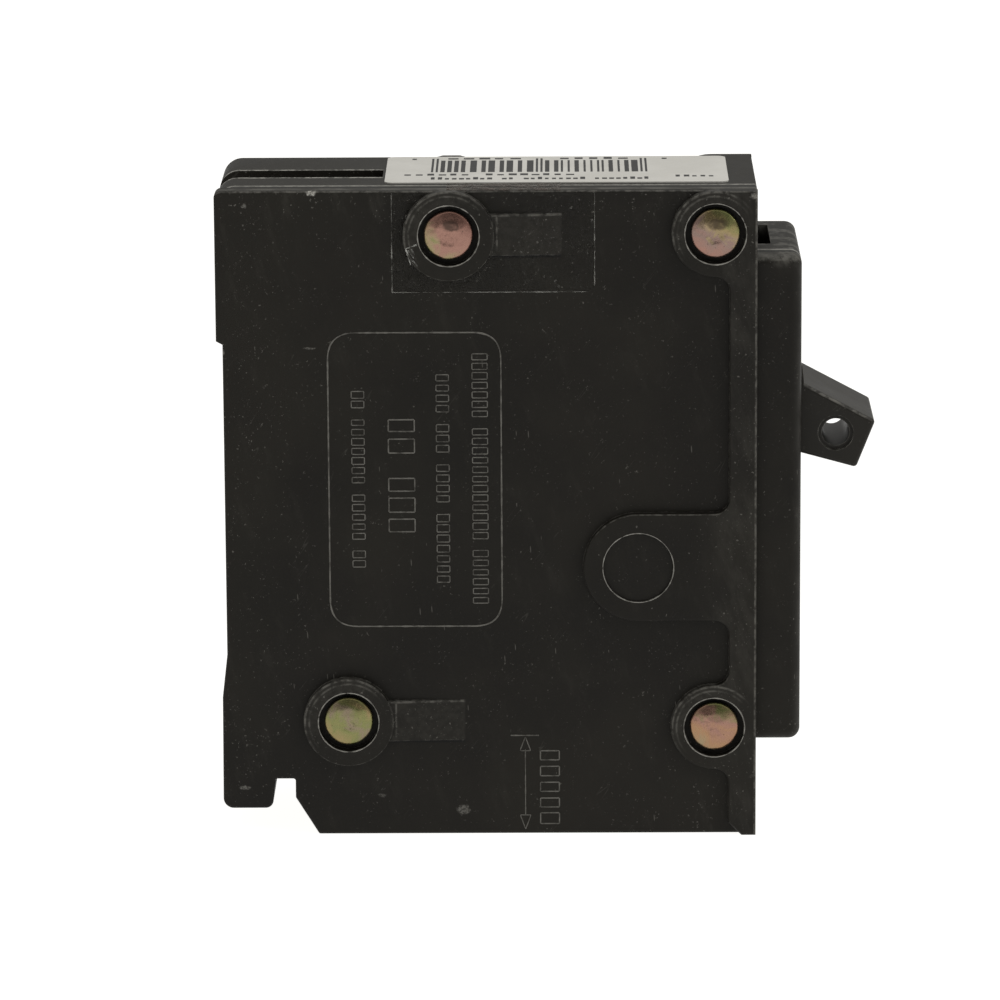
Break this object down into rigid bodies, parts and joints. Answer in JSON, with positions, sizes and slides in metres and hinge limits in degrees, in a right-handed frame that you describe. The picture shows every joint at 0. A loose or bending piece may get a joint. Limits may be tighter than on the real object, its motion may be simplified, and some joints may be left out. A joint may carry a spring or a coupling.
{
  "type": "circuit breaker",
  "caption": "Single-pole plug-in branch circuit breaker, one inch wide, with a toggle handle, thermal-magnetic trip, plug-on line jaw and wire clamp.",
  "frame": {"origin": "middle of the case's load-end face, which it stands on", "axes": "+X towards the handle (front), +Y across the one-inch width from cover to base, +Z towards the line end"},
  "size_m": [0.0759, 0.025, 0.0764],
  "materials": {
    "case_phenolic": "satin moulded phenolic, slightly scuffed",
    "handle_phenolic": "satin moulded phenolic",
    "chromated_steel": "yellow zinc chromate, iridescent",
    "zinc_steel": "zinc plated",
    "spring_steel": "bright drawn",
    "copper": "bare copper alloy",
    "tinned_copper": "tin plated, satin",
    "silver_contact": "silver alloy, matt",
    "bimetal_strip": "rolled strip",
    "vulcan_fibre": "matt fibre sheet",
    "label_paper": "satin printed film",
    "clear_film": "clear self-adhesive film"
  },
  "bodies": {
    "case": {"base_shell": "case_phenolic", "cover_shell": "case_phenolic", "case_rivets": "chromated_steel", "cradle_pin": "spring_steel", "line_clip": "tinned_copper", "clip_spring": "spring_steel", "line_conductor": "copper", "fixed_contact": "silver_contact", "arc_plates": "zinc_steel", "arc_liners": "vulcan_fibre", "trip_frame": "zinc_steel", "bimetal": "bimetal_strip", "magnet_yoke": "zinc_steel", "load_strap": "tinned_copper", "flexible_shunt": "copper", "rating_label": "label_paper", "clear_seal": "clear_film"},
    "handle": {"handle": "handle_phenolic"},
    "contact_arm": {"contact_arm": "copper", "moving_contact": "silver_contact"},
    "cradle": {"cradle": "zinc_steel", "toggle_spring": "spring_steel"},
    "armature": {"armature": "zinc_steel", "armature_spring": "spring_steel"},
    "wire_clamp": {"pressure_plate": "zinc_steel"},
    "terminal_screw": {"terminal_screw": "chromated_steel"}
  },
  "joints": [
    {"name": "handle_turn", "type": "hinge", "parent": "case", "child": "handle", "pos_m": [0.02605, 0, 0.0524], "axis": [0, -1, 0], "range_deg": [0, 43.4]},
    {"name": "contact_arm_swing", "type": "hinge", "parent": "handle", "child": "contact_arm", "pos_m": [0.01955, 0, 0.05499], "axis": [0, 1, 0], "range_deg": [0, 71.95], "deforming": ["toggle_spring", "flexible_shunt"]},
    {"name": "cradle_trip", "type": "hinge", "parent": "case", "child": "cradle", "pos_m": [0.01505, 0, 0.0665], "axis": [0, 1, 0], "range_deg": [0, 22]},
    {"name": "armature_tilt", "type": "hinge", "parent": "case", "child": "armature", "pos_m": [-0.01845, 0, 0.0321], "axis": [0, 1, 0], "range_deg": [0, 5.05]},
    {"name": "terminal_screw_turn", "type": "hinge", "parent": "wire_clamp", "child": "terminal_screw", "pos_m": [0.02805, 0, 0.0057], "axis": [-1, 0, 0], "range_deg": [0, 2882]},
    {"name": "wire_clamp_travel", "type": "slide", "parent": "case", "child": "wire_clamp", "axis": [-1, 0, 0], "range_m": [0, 0.00635]}
  ],
  "couplings": [
    {"joint": "contact_arm_swing", "follows": "handle_turn", "ratio": 1.6567},
    {"joint": "armature_tilt", "follows": "cradle_trip", "ratio": 0.22727},
    {"joint": "terminal_screw_turn", "follows": "wire_clamp_travel", "rad_per_m": 7915.8}
  ]
}
